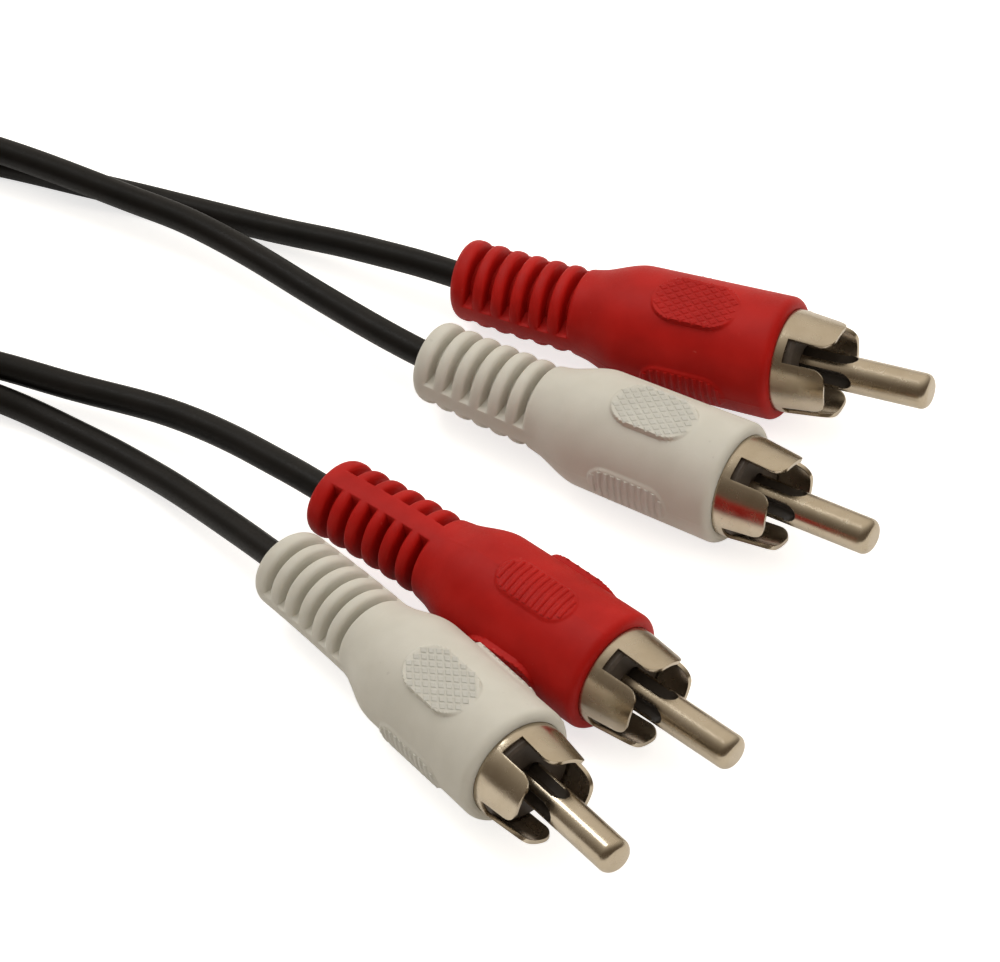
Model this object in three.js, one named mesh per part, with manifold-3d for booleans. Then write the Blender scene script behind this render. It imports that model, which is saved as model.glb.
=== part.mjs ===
// A stereo audio cable: a red and a white moulded phono plug at each end of a black twin lead.
// The lead runs away to the left, where its spare length is wound in a round coil.
// Millimetres, +Z up, lying on a surface at z = 0. The origin is below the middle of the four plugs.
import * as THREE from 'three';
import { mergeVertices } from 'three/addons/utils/BufferGeometryUtils.js';
import Module from 'manifold-3d';

const wasm = await Module();
wasm.setup();

// Stations run along a plug's own axis, forward from the boot's front rim at 0.
const CLEARANCE = 0.3; // between two pieces that fit together
const PLUG_SIDES = 24; // facets round the pieces that show
const INNER_SIDES = 14; // facets round the sealed pieces
const WELD = 1e-4;

// Centre pin
const PIN_RADIUS = 1.5875; // the standard eighth-of-an-inch contact
const PIN_TIP = 13.3; // station of its end
const PIN_ROUNDING = 0.75; // of its end
const PIN_TAIL_RADIUS = 0.9;
const PIN_TAIL_LENGTH = 2.8;
const FLUTE_END = 6.4; // station where the four flutes run out
const FLUTE_START = 1.2;
const PIN_RIB = 0.85; // thickness of the ribs that the flutes leave

// Ground shell, a ring with four petals
const SHELL_RADIUS = 4.55; // outside, at the ring
const SHELL_TIP_RADIUS = 4.15; // outside, at the petals' ends
const SHELL_SHEET = 0.35;
const SHELL_TIP = 4.9; // station of the petals' ends
const SHELL_BACK = -6; // station of the ring's rear edge
const SHELL_SLOT = 2.2; // width of the slots between petals
const SLOT_ROOT = 0.9; // station of the slots' square ends
const PETAL_ROUNDING = 1.3; // of the petals' corners

// Insulating disc that carries the pin in the shell
const INSULATOR_FRONT = 1.5;
const INSULATOR_BACK = -4.8;

// Sealed pieces behind the shell
const PREMOULD_LENGTH = 8;
const PREMOULD_RADIUS = 3.6;
const PREMOULD_BORE = 2.4;
const CONDUCTOR_RADIUS = 0.35;
const CONDUCTOR_LENGTH = 1.2;
const CORE_RADIUS = 0.75;
const CORE_LENGTH = 1.9;
const CRIMP_WALL = 0.5;
const CRIMP_LENGTH = 2.2;
const BRAID_RADIUS = 0.35;
const BRAID_STEPS = 9;

// Moulded boot
const BARREL_RADIUS = 5.5; // at the rim
const BARREL_BACK_RADIUS = 5.32;
const BARREL_LENGTH = 14;
const RIM_ROUNDING = 0.45;
const BOOT_LENGTH = 31.7;
const NECK_RADIUS = 3.87;
const SHOULDER_LENGTH = 5.6; // along which the neck widens to the barrel
const SHOULDER_CURVE = [[0.25, 0.16], [0.5, 0.5], [0.75, 0.84], [1, 1]]; // shares of the length and the widening
const COLLAR_RADIUS = 3.64; // at the cord's end
const COLLAR_ROUNDING = 1;
const RELIEF_SLOTS = 6; // on each side of the strain relief
const RELIEF_PITCH = 1.9;
const RELIEF_SLOT_WIDTH = 0.75;
const RELIEF_FIRST = -29.6; // station of the slot beside the collar
const RELIEF_CORE = 2.3; // radius left whole round the cord
const SPINE_WIDTH = 1.9; // of the two bars that join the strain relief's ribs
const PAD_LENGTH = 8;
const PAD_FRONT = -4; // station of the grip pads' front ends
const FLAT_PAD_WIDTH = 4.8; // of the two flat pads above and below
const FLAT_PAD_HEIGHT = 5.5; // of their faces from the axis
const RIBBED_PAD_WIDTH = 3.8; // of the two pads on the spines, which follow the barrel
const RIBBED_PAD_RADIUS = 5.67;
const PAD_ROOT = 0.2; // by which the pads reach into the barrel

// Cord, one of two channels in the lead
const CORD_RADIUS = 1.25;
const CORD_SIDES = 8;
const LEAD_STEPS = 14; // lengths that each lead is made of

// Spare length, wound beside the left end: four turns wide and four high, counting both channels
const COIL_CENTRE = [-92.4, 44.7];
const COIL_RADIUS = 20; // middle of the winding
const COIL_PITCH = 2.8; // between neighbouring turns
const COIL_LAYER = 2.6; // between layers
const COIL_ACROSS = 4;
const COIL_LAYERS = 4;
const COIL_CORNER = 1.2;
const COIL_SIDES = 40;
const TIE_THICKNESS = 0.5;
const TIE_WIDTH = 4;

// Where each plug lies: its rim's middle, heading and nose-up tilt in degrees, and how far its boot, shell
// and pin are each turned about its axis
const PLUGS = [
  { name: 'plug1', colour: 'red', at: [17.29, 19.71], heading: -26.5, tilt: 4.15,
    boot: -10, shell: -34.8, pin: -32 },
  { name: 'plug2', colour: 'white', at: [11.99, 5.44], heading: -34.9, tilt: 2.0,
    boot: -4, shell: -23.8, pin: -25 },
  { name: 'plug3', colour: 'red', at: [0.28, -15.15], heading: -44.5, tilt: -1.75,
    boot: 81.5, shell: -21.4, pin: -29 },
  { name: 'plug4', colour: 'white', at: [-8.2, -25.65], heading: -54.6, tilt: 2.25,
    boot: -15, shell: -12.6, pin: -35 },
];

// Each lead's way to the coil, from just behind its plug's collar
const LEADS = [
  { name: 'lead1', plug: 'plug1', points: [
    [-14.5, 36.9, 4], [-18.1, 38.9, 3.6], [-21.6, 41.1, 3], [-25.2, 43.1, 2.3], [-28.9, 45.2, 1.7],
    [-32.5, 47.1, 1.4], [-36.2, 48.8, 1.3], [-39.8, 50.4, 1.3], [-43.5, 51.9, 1.3], [-47.2, 53.5, 1.3],
    [-50.9, 55.1, 1.3], [-56.9, 57.4, 1.3], [-63.7, 59.6, 1.4], [-71.5, 61.9, 1.7],
  ] },
  { name: 'lead2', plug: 'plug2', points: [
    [-16.5, 26.2, 4.7], [-19.1, 28.7, 4.5], [-21.8, 31.6, 4.1], [-25.3, 35.3, 3.7], [-28.8, 39, 3.5],
    [-32.4, 42.2, 3.5], [-36, 45.1, 3.5], [-39.6, 47.2, 3.5], [-43.3, 49.4, 3.7], [-46.9, 51.6, 3.8],
    [-50.6, 53.7, 3.95], [-56.2, 56.6, 4.1], [-63.6, 59.5, 4.2], [-71.5, 61.9, 4.4],
  ] },
  { name: 'lead3', plug: 'plug3', points: [
    [-25.5, 9.4, 6], [-28.1, 11.9, 5.6], [-30.7, 14.7, 5], [-34.2, 18, 4.2], [-37.8, 20.8, 3.5],
    [-41.3, 22.7, 3.1], [-44.9, 24.4, 2.9], [-48.4, 26, 3], [-52, 27.6, 3.2], [-58.5, 29.6, 3.8],
    [-65.5, 28.5, 4.9], [-72.8, 26.1, 6.1],
  ] },
  { name: 'lead4', plug: 'plug4', points: [
    [-30, 3.9, 4.2], [-31.7, 6.1, 3.7], [-34.4, 9.6, 2.9], [-37, 12.8, 2.2], [-39.7, 15.7, 1.6],
    [-42.3, 18.1, 1.4], [-45, 20.2, 1.3], [-48.5, 22.9, 1.3], [-52.1, 24.9, 1.8], [-58.3, 26.8, 3.4],
    [-65.3, 25.9, 5.7], [-72.5, 23.9, 7.8],
  ] },
];

const FINISHES = {
  red: new THREE.MeshStandardMaterial({ color: 0xaa1e19, roughness: 0.5 }),
  white: new THREE.MeshStandardMaterial({ color: 0xc8c3b9, roughness: 0.5 }),
  nickel: new THREE.MeshStandardMaterial({ color: 0xb8ac9c, roughness: 0.2, metalness: 1 }),
  blackPlastic: new THREE.MeshStandardMaterial({ color: 0x3a332d, roughness: 0.6 }),
  clearPlastic: new THREE.MeshStandardMaterial({ color: 0xd8d4c8, roughness: 0.5 }),
  copper: new THREE.MeshStandardMaterial({ color: 0xb87348, roughness: 0.35, metalness: 1 }),
  jacket: new THREE.MeshStandardMaterial({ color: 0x1e1b18, roughness: 0.55 }),
};

const radians = THREE.MathUtils.degToRad;
const ARC_MIDDLE = 0.3; // how far a rounding's middle lies from each face, as a share of its radius
const THROUGH = 4; // length in radii of a cutter that goes right through
const END_CURVE = 4; // lengths that each quarter of a rounded end is made of

// Stations worked out from the sizes above
const BORE_RADIUS = CORD_RADIUS + CLEARANCE;
const SHELL_INSIDE = SHELL_RADIUS - SHELL_SHEET;
const SHELL_POCKET = SHELL_BACK - CLEARANCE; // where the boot's pocket for the shell ends
const PREMOULD_BACK = SHELL_POCKET - PREMOULD_LENGTH;
const PREMOULD_POCKET = PREMOULD_BACK - CLEARANCE;
const PIN_SHOULDER = INSULATOR_BACK - CLEARANCE; // where the pin narrows to its tail
const PIN_BACK = PIN_SHOULDER - PIN_TAIL_LENGTH;
const CONDUCTOR_FRONT = PIN_BACK - CLEARANCE;
const CORE_FRONT = CONDUCTOR_FRONT - CONDUCTOR_LENGTH - CLEARANCE;
const JACKET_FRONT = CORE_FRONT - CORE_LENGTH - CLEARANCE;
const CRIMP_FRONT = JACKET_FRONT - CLEARANCE;
const RELIEF_LAST = RELIEF_FIRST + (RELIEF_SLOTS - 1) * RELIEF_PITCH;

// A turned piece on the plug's axis. The outline's [station, radius] pairs run forward along its outside.
function turned(outline, sides) {
  const points = outline.map(([station, radius]) => new THREE.Vector2(radius, station));
  return new THREE.LatheGeometry(points, sides).rotateZ(-Math.PI / 2);
}

// A turned ring between two stations, with one bore
function ring(back, front, bore, outside, sides) {
  return turned([[back, bore], [back, outside], [front, outside], [front, bore], [back, bore]], sides);
}

// A plain round piece between two stations
function rod(back, front, radius, sides) {
  return turned([[back, 0], [back, radius], [front, radius], [front, 0]], sides);
}

// A manifold solid of a closed geometry, without the empty triangles that a turned shape has on its axis
function solidOf(geometry) {
  const bare = geometry.clone();
  bare.deleteAttribute('normal');
  bare.deleteAttribute('uv');
  const merged = mergeVertices(bare, WELD);
  const corners = merged.index.array;
  const kept = [];
  for (let i = 0; i < corners.length; i += 3) {
    const [a, b, c] = corners.slice(i, i + 3);
    if (a !== b && b !== c && c !== a) kept.push(a, b, c);
  }
  return new wasm.Manifold(new wasm.Mesh({
    numProp: 3,
    vertProperties: new Float32Array(merged.attributes.position.array),
    triVerts: new Uint32Array(kept),
  }));
}

// The three.js geometry of a manifold solid
function geometryOf(solid) {
  const { vertProperties, triVerts } = solid.getMesh();
  const geometry = new THREE.BufferGeometry();
  geometry.setAttribute('position', new THREE.BufferAttribute(new Float32Array(vertProperties), 3));
  geometry.setIndex(new THREE.BufferAttribute(new Uint32Array(triVerts), 1));
  geometry.computeVertexNormals();
  return geometry;
}

// The boot before its strain relief is slotted: collar, relief, neck, shoulder, barrel and the stepped bore
function bootBlank() {
  const shoulder = SHOULDER_CURVE.map(([along, rise]) => [
    -BARREL_LENGTH - SHOULDER_LENGTH * (1 - along), NECK_RADIUS + (BARREL_BACK_RADIUS - NECK_RADIUS) * rise,
  ]);
  return turned([
    [-BOOT_LENGTH, BORE_RADIUS],
    [-BOOT_LENGTH, COLLAR_RADIUS - COLLAR_ROUNDING],
    [-BOOT_LENGTH + COLLAR_ROUNDING * ARC_MIDDLE, COLLAR_RADIUS - COLLAR_ROUNDING * ARC_MIDDLE],
    [-BOOT_LENGTH + COLLAR_ROUNDING, COLLAR_RADIUS],
    [RELIEF_LAST + RELIEF_PITCH, NECK_RADIUS],
    ...shoulder,
    [-RIM_ROUNDING, BARREL_RADIUS],
    [0, BARREL_RADIUS - RIM_ROUNDING],
    [0, SHELL_RADIUS + CLEARANCE],
    [SHELL_POCKET, SHELL_RADIUS + CLEARANCE],
    [SHELL_POCKET, PREMOULD_RADIUS + CLEARANCE],
    [PREMOULD_POCKET, PREMOULD_RADIUS + CLEARANCE],
    [PREMOULD_POCKET, BORE_RADIUS],
    [-BOOT_LENGTH, BORE_RADIUS],
  ], PLUG_SIDES);
}

// The slots on both sides of the strain relief, which stop at the two spines along it
function reliefSlots() {
  let slots = null;
  for (let i = 0; i < RELIEF_SLOTS; i += 1) {
    const station = RELIEF_FIRST + i * RELIEF_PITCH;
    const back = station - RELIEF_SLOT_WIDTH / 2;
    const slot = solidOf(ring(back, back + RELIEF_SLOT_WIDTH, RELIEF_CORE, BARREL_RADIUS, PLUG_SIDES));
    slots = slots ? slots.add(slot) : slot;
  }
  const spines = new THREE.BoxGeometry(BOOT_LENGTH, BARREL_RADIUS * THROUGH, SPINE_WIDTH);
  return slots.subtract(solidOf(spines.translate(-BOOT_LENGTH / 2, 0, 0)));
}

// A round-ended strip right through the barrel, as far from the axis as its reach
function padStrip(width, reach) {
  const end = width / 2;
  const outline = new THREE.Shape();
  outline.absarc(PAD_FRONT - end, 0, end, -Math.PI / 2, Math.PI / 2);
  outline.absarc(PAD_FRONT - PAD_LENGTH + end, 0, end, Math.PI / 2, Math.PI * 1.5);
  return new THREE.ExtrudeGeometry(outline, {
    depth: 2 * reach, bevelEnabled: false, curveSegments: END_CURVE,
  }).translate(0, 0, -reach);
}

// The four raised grip pads: two flat ones, and two on the spines that follow the barrel
function gripPads() {
  const root = BARREL_BACK_RADIUS - PAD_ROOT;
  const around = (radius) => solidOf(ring(PAD_FRONT - PAD_LENGTH - PAD_ROOT, PAD_FRONT + PAD_ROOT,
    root, radius, PLUG_SIDES));
  const flat = solidOf(padStrip(FLAT_PAD_WIDTH, FLAT_PAD_HEIGHT));
  const ribbed = solidOf(padStrip(RIBBED_PAD_WIDTH, 2 * BARREL_RADIUS).rotateX(Math.PI / 2));
  return around(2 * BARREL_RADIUS).intersect(flat).add(around(RIBBED_PAD_RADIUS).intersect(ribbed));
}

function boot() {
  return geometryOf(solidOf(bootBlank()).subtract(reliefSlots()).add(gripPads()));
}

// One slot right across the shell. It widens at the petals' ends, which rounds their corners.
function petalSlot() {
  const half = SHELL_SLOT / 2;
  const wide = half + PETAL_ROUNDING;
  const tip = SHELL_TIP + CLEARANCE;
  const outline = new THREE.Shape();
  outline.moveTo(SLOT_ROOT, -half);
  outline.absarc(SHELL_TIP - PETAL_ROUNDING, -wide, PETAL_ROUNDING, Math.PI / 2, 0, true);
  outline.lineTo(tip, -wide);
  outline.lineTo(tip, wide);
  outline.absarc(SHELL_TIP - PETAL_ROUNDING, wide, PETAL_ROUNDING, 0, -Math.PI / 2, true);
  outline.lineTo(SLOT_ROOT, half);
  return new THREE.ExtrudeGeometry(outline, {
    depth: SHELL_RADIUS * THROUGH, bevelEnabled: false, curveSegments: END_CURVE,
  }).translate(0, 0, (-SHELL_RADIUS * THROUGH) / 2);
}

function shell() {
  const tipInside = SHELL_TIP_RADIUS - SHELL_SHEET;
  const blank = solidOf(turned([
    [SHELL_BACK, SHELL_INSIDE], [SHELL_BACK, SHELL_RADIUS], [SLOT_ROOT, SHELL_RADIUS],
    [SHELL_TIP, SHELL_TIP_RADIUS], [SHELL_TIP, tipInside], [SLOT_ROOT, SHELL_INSIDE],
    [SHELL_BACK, SHELL_INSIDE],
  ], PLUG_SIDES));
  const slot = petalSlot();
  return geometryOf(blank.subtract(solidOf(slot)).subtract(solidOf(slot.clone().rotateX(Math.PI / 2))));
}

// The centre pin: rounded end, four flutes that leave crossed ribs, and a thinner tail for the wire
function pin() {
  const soft = PIN_ROUNDING * ARC_MIDDLE;
  const blank = solidOf(turned([
    [PIN_BACK, 0], [PIN_BACK, PIN_TAIL_RADIUS], [PIN_SHOULDER, PIN_TAIL_RADIUS], [PIN_SHOULDER, PIN_RADIUS],
    [PIN_TIP - PIN_ROUNDING, PIN_RADIUS], [PIN_TIP - soft, PIN_RADIUS - soft],
    [PIN_TIP, PIN_RADIUS - PIN_ROUNDING], [PIN_TIP, 0],
  ], PLUG_SIDES / 2));
  const length = FLUTE_END - FLUTE_START;
  const size = PIN_RADIUS + PIN_RIB / 2;
  const middle = (PIN_RIB + size) / 2;
  let fluted = blank;
  for (const [y, z] of [[1, 1], [-1, 1], [-1, -1], [1, -1]]) {
    const flute = new THREE.BoxGeometry(length, size, size);
    flute.translate(FLUTE_START + length / 2, y * middle, z * middle);
    fluted = fluted.subtract(solidOf(flute));
  }
  return geometryOf(fluted);
}

// The insulating disc in the shell's ring
function insulator() {
  return ring(INSULATOR_BACK, INSULATOR_FRONT, PIN_RADIUS + CLEARANCE, SHELL_INSIDE - CLEARANCE, PLUG_SIDES);
}

// The first moulding, which closes the shell's back before the boot is moulded over it
function premould() {
  return ring(PREMOULD_BACK, SHELL_POCKET, PREMOULD_BORE, PREMOULD_RADIUS, INNER_SIDES);
}

// The shield's wires, twisted to a tail that runs from the cord to the inside of the shell
function braidTail() {
  const track = PREMOULD_BORE - BRAID_RADIUS - CLEARANCE;
  const landing = SHELL_INSIDE - BRAID_RADIUS - CLEARANCE;
  const turn = (SHELL_BACK + INSULATOR_BACK) / 2;
  const path = new THREE.CatmullRomCurve3([
    new THREE.Vector3(JACKET_FRONT + CLEARANCE, 0, track),
    new THREE.Vector3((JACKET_FRONT + SHELL_BACK) / 2, 0, track),
    new THREE.Vector3(SHELL_BACK - BRAID_RADIUS, 0, track),
    new THREE.Vector3(turn - BRAID_RADIUS / 2, 0, (track + landing) / 2),
    new THREE.Vector3(turn, 0, landing),
  ]);
  return new THREE.ExtrudeGeometry(circle(BRAID_RADIUS), {
    steps: BRAID_STEPS, bevelEnabled: false, curveSegments: CORD_SIDES / 2, extrudePath: path,
  });
}

function circle(radius) {
  return new THREE.Shape().absarc(0, 0, radius, 0, Math.PI * 2);
}

// The pieces of one plug, each with its turn about the plug's axis
function plugPieces({ colour, boot: bootTurn, shell: shellTurn, pin: pinTurn }) {
  return [
    ['boot', boot(), FINISHES[colour], bootTurn],
    ['shell', shell(), FINISHES.nickel, shellTurn],
    ['pin', pin(), FINISHES.nickel, pinTurn],
    ['insulator', insulator(), FINISHES.blackPlastic, 0],
    ['premould', premould(), FINISHES.blackPlastic, 0],
    ['braid', braidTail(), FINISHES.copper, bootTurn],
    ['conductor', rod(CONDUCTOR_FRONT - CONDUCTOR_LENGTH, CONDUCTOR_FRONT, CONDUCTOR_RADIUS, INNER_SIDES),
      FINISHES.copper, 0],
    ['core', rod(CORE_FRONT - CORE_LENGTH, CORE_FRONT, CORE_RADIUS, INNER_SIDES), FINISHES.clearPlastic, 0],
    ['crimp',
      ring(CRIMP_FRONT - CRIMP_LENGTH, CRIMP_FRONT, BORE_RADIUS, BORE_RADIUS + CRIMP_WALL, INNER_SIDES),
      FINISHES.nickel, 0],
    ['jacket', rod(-BOOT_LENGTH, JACKET_FRONT, CORD_RADIUS, INNER_SIDES), FINISHES.jacket, 0],
  ];
}

// How far the pads reach down from the axis when the boot is turned by this much
function padReach(turn) {
  const aside = Math.acos(Math.abs(Math.cos(turn)));
  const flat = FLAT_PAD_HEIGHT * Math.cos(aside) + (FLAT_PAD_WIDTH / 2) * Math.sin(aside);
  const past = Math.max(Math.PI / 2 - aside - Math.asin(RIBBED_PAD_WIDTH / 2 / RIBBED_PAD_RADIUS), 0);
  return Math.max(flat, RIBBED_PAD_RADIUS * Math.cos(past));
}

// How high a plug's axis is at its rim when the plug lies on the surface, on whatever reaches lowest
function restHeight(tilt, turn) {
  const pads = padReach(turn);
  const supports = [
    [-RIM_ROUNDING, BARREL_RADIUS], [-BARREL_LENGTH, BARREL_BACK_RADIUS],
    [PAD_FRONT - FLAT_PAD_WIDTH / 2, pads], [PAD_FRONT - PAD_LENGTH + FLAT_PAD_WIDTH / 2, pads],
    [-BOOT_LENGTH + COLLAR_ROUNDING, COLLAR_RADIUS],
  ];
  const heights = supports.map(([station, radius]) => radius * Math.cos(tilt) - station * Math.sin(tilt));
  return Math.max(...heights);
}

function plug(place) {
  const tilt = radians(place.tilt);
  const group = new THREE.Group();
  group.position.set(place.at[0], place.at[1], restHeight(tilt, radians(place.boot)));
  group.rotation.set(0, -tilt, radians(place.heading), 'ZYX');
  for (const [piece, geometry, material, turn] of plugPieces(place)) {
    const mesh = new THREE.Mesh(geometry, material);
    mesh.name = `${place.name}_${piece}`;
    mesh.rotation.x = -radians(turn);
    group.add(mesh);
  }
  return group;
}

// A lead's tube, from the end of its plug's collar to the side of the coil
function lead(route, plugGroup) {
  const exit = new THREE.Vector3(-BOOT_LENGTH - CLEARANCE, 0, 0).applyMatrix4(plugGroup.matrixWorld);
  const path = new THREE.CatmullRomCurve3([exit, ...route.points.map((p) => new THREE.Vector3(...p))]);
  const geometry = new THREE.ExtrudeGeometry(circle(CORD_RADIUS), {
    steps: LEAD_STEPS, bevelEnabled: false, curveSegments: CORD_SIDES / 2, extrudePath: path,
  });
  const mesh = new THREE.Mesh(geometry, FINISHES.jacket);
  mesh.name = route.name;
  return mesh;
}

// Outer half-sizes of the coil's bundle of turns
const BUNDLE_HALF = ((COIL_ACROSS - 1) * COIL_PITCH) / 2 + CORD_RADIUS;
const BUNDLE_HEIGHT = (COIL_LAYERS - 1) * COIL_LAYER + 2 * CORD_RADIUS;
const COIL_BOTTOM = TIE_THICKNESS + CLEARANCE; // the tie passes below it

// The coil's outer shape: one ring round all of its turns
function coil() {
  const inner = COIL_RADIUS - BUNDLE_HALF;
  const outer = COIL_RADIUS + BUNDLE_HALF;
  const top = COIL_BOTTOM + BUNDLE_HEIGHT;
  const corners = [
    [inner + COIL_CORNER, COIL_BOTTOM], [outer - COIL_CORNER, COIL_BOTTOM],
    [outer, COIL_BOTTOM + COIL_CORNER], [outer, top - COIL_CORNER],
    [outer - COIL_CORNER, top], [inner + COIL_CORNER, top],
    [inner, top - COIL_CORNER], [inner, COIL_BOTTOM + COIL_CORNER],
    [inner + COIL_CORNER, COIL_BOTTOM],
  ].map(([radius, height]) => new THREE.Vector2(radius, height));
  const bundle = new THREE.LatheGeometry(corners, COIL_SIDES).rotateX(Math.PI / 2);
  const mesh = new THREE.Mesh(bundle, FINISHES.jacket);
  mesh.position.set(...COIL_CENTRE, 0);
  mesh.name = 'coil';
  return mesh;
}

function rectangle(path, halfWidth, low, high) {
  path.moveTo(-halfWidth, low);
  path.lineTo(halfWidth, low);
  path.lineTo(halfWidth, high);
  path.lineTo(-halfWidth, high);
  path.closePath();
  return path;
}

// The tie round the coil, on the side away from the plugs
function tie() {
  const insideHalf = BUNDLE_HALF + CLEARANCE;
  const band = rectangle(new THREE.Shape(), insideHalf + TIE_THICKNESS, 0,
    BUNDLE_HEIGHT + 2 * (CLEARANCE + TIE_THICKNESS));
  band.holes.push(rectangle(new THREE.Path(), insideHalf, TIE_THICKNESS,
    TIE_THICKNESS + BUNDLE_HEIGHT + 2 * CLEARANCE));
  const geometry = new THREE.ExtrudeGeometry(band, { depth: TIE_WIDTH, bevelEnabled: false })
    .translate(0, 0, -TIE_WIDTH / 2).rotateX(Math.PI / 2);
  const mesh = new THREE.Mesh(geometry, FINISHES.blackPlastic);
  mesh.position.set(COIL_CENTRE[0] - COIL_RADIUS, COIL_CENTRE[1], 0);
  mesh.name = 'tie';
  return mesh;
}

const cable = new THREE.Group();
for (const place of PLUGS) {
  const group = plug(place);
  group.updateMatrixWorld(true);
  cable.add(group, lead(LEADS.find((route) => route.plug === place.name), group));
}
cable.add(coil(), tie());

export default cable;
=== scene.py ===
# %% [markdown]
# # A stereo audio cable with four moulded phono plugs
#
# The solids of this cable come from its CAD model, which stays where it is. This script gives them their
# looks: finer meshes for what the eye sees, and a finish for each material. It starts by loading the CAD
# model as a fixed frame. All lengths are in metres, and MM turns a size in millimetres into metres.

# %% Load the CAD model
import math

import bmesh
import bpy
import numpy as np
from mathutils import Matrix, Vector


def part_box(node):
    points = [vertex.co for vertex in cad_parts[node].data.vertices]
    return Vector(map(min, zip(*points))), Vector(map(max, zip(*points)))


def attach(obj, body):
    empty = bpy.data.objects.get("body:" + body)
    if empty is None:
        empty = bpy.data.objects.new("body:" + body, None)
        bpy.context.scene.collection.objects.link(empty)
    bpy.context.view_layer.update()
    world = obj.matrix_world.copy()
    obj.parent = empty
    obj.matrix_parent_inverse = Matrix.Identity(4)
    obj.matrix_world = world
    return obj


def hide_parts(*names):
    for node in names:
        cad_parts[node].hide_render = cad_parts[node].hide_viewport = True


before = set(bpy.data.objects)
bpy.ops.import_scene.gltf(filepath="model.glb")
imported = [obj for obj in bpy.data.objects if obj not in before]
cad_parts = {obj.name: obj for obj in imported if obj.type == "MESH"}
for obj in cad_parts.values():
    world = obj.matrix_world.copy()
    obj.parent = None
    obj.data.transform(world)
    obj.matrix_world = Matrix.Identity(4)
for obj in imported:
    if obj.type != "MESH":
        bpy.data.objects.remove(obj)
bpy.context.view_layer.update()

MM = 0.001

# %% [markdown]
# ## Camera
#
# The photograph looks down on the plugs through a long lens. The camera stands on a sphere about a point
# on the floor: an elevation sets how far up it stands, and a small roll turns the picture. Keeping these
# as named values is easier to read than a finished matrix.

# %% Camera
VIEW_CENTRE = Vector((-8.4, 13.2, 0)) * MM  # where the lens's axis meets the floor
VIEW_DISTANCE = 522.4 * MM
VIEW_ELEVATION = math.radians(46)
VIEW_ROLL = math.radians(-3.04)
LENS = 216  # millimetres, on a sensor 36 wide


def in_scene(name, data):
    """A new object in the scene, at the origin."""
    thing = bpy.data.objects.new(name, data)
    bpy.context.scene.collection.objects.link(thing)
    return thing


def add_camera():
    data = bpy.data.cameras.new("camera")
    data.lens = LENS
    data.sensor_width = 36
    camera = in_scene("camera", data)
    camera.matrix_world = (
        Matrix.Translation(VIEW_CENTRE)
        @ Matrix.Rotation(math.pi / 2 - VIEW_ELEVATION, 4, "X")
        @ Matrix.Rotation(VIEW_ROLL, 4, "Z")
        @ Matrix.Translation((0, 0, VIEW_DISTANCE))
    )
    bpy.context.scene.camera = camera


add_camera()

# %% [markdown]
# ## Where the plugs lie
#
# Every plug is modelled once about its own axis: +X runs forward out of the plug and station 0 is the
# front rim of the boot. Each of the four plugs then gets a place on the floor, a heading and a small
# tilt, and its boot, shell and pin are each turned a little about the axis, as real ones are. The strain
# relief is soft, so each cord bends it a little to one side: bend is how far its end moves, in millimetres.

# %% Plug places
PLUGS = {
    "plug1": dict(colour="red", at=(17.29, 19.71), heading=-26.5, tilt=4.15,
                  boot=-10, shell=-34.8, pin=-32, bend=0.82),
    "plug2": dict(colour="white", at=(11.99, 5.44), heading=-34.9, tilt=2.0,
                  boot=-4, shell=-23.8, pin=-25, bend=0.31),
    "plug3": dict(colour="red", at=(0.28, -15.15), heading=-44.5, tilt=-1.75,
                  boot=81.5, shell=-21.4, pin=-29, bend=-0.81),
    "plug4": dict(colour="white", at=(-8.2, -25.65), heading=-54.6, tilt=2.25,
                  boot=-15, shell=-12.6, pin=-35, bend=-0.53),
}
BARREL_RADIUS = 5.5 * MM  # at the rim
BARREL_BACK_RADIUS = 5.32 * MM
BARREL_LENGTH = 14 * MM
BOOT_LENGTH = 31.7 * MM
COLLAR_RADIUS = 3.64 * MM
COLLAR_ROUNDING = 1.0 * MM
CORNER_ROUNDING = 0.45 * MM  # of the rim, on the CAD model
PAD_FRONT = -4 * MM
PAD_LENGTH = 8 * MM
FLAT_PAD_WIDTH = 4.8 * MM  # of the two flat pads above and below
FLAT_PAD_HEIGHT = 5.5 * MM
RIBBED_PAD_WIDTH = 3.8 * MM  # of the two pads on the spines, which follow the barrel
RIBBED_PAD_RADIUS = 5.67 * MM
PIN_TIP = 13.3 * MM
BEND_START = -17 * MM  # station where the relief begins to bend


def pad_reach(turn):
    """How far the pads reach down from the axis when the boot is turned by this much."""
    aside = math.acos(abs(math.cos(turn)))
    flat = FLAT_PAD_HEIGHT * math.cos(aside) + FLAT_PAD_WIDTH / 2 * math.sin(aside)
    past = max(math.pi / 2 - aside - math.asin(RIBBED_PAD_WIDTH / 2 / RIBBED_PAD_RADIUS), 0)
    return max(flat, RIBBED_PAD_RADIUS * math.cos(past))


def rest_height(tilt, turn):
    """How high a plug's axis is at its rim, lying on whatever reaches lowest."""
    pads = pad_reach(turn)
    supports = [
        (-CORNER_ROUNDING, BARREL_RADIUS),
        (-BARREL_LENGTH, BARREL_BACK_RADIUS),
        (PAD_FRONT - FLAT_PAD_WIDTH / 2, pads),
        (PAD_FRONT - PAD_LENGTH + FLAT_PAD_WIDTH / 2, pads),
        (-BOOT_LENGTH + COLLAR_ROUNDING, COLLAR_RADIUS),
    ]
    return max(radius * math.cos(tilt) - station * math.sin(tilt) for station, radius in supports)


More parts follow.
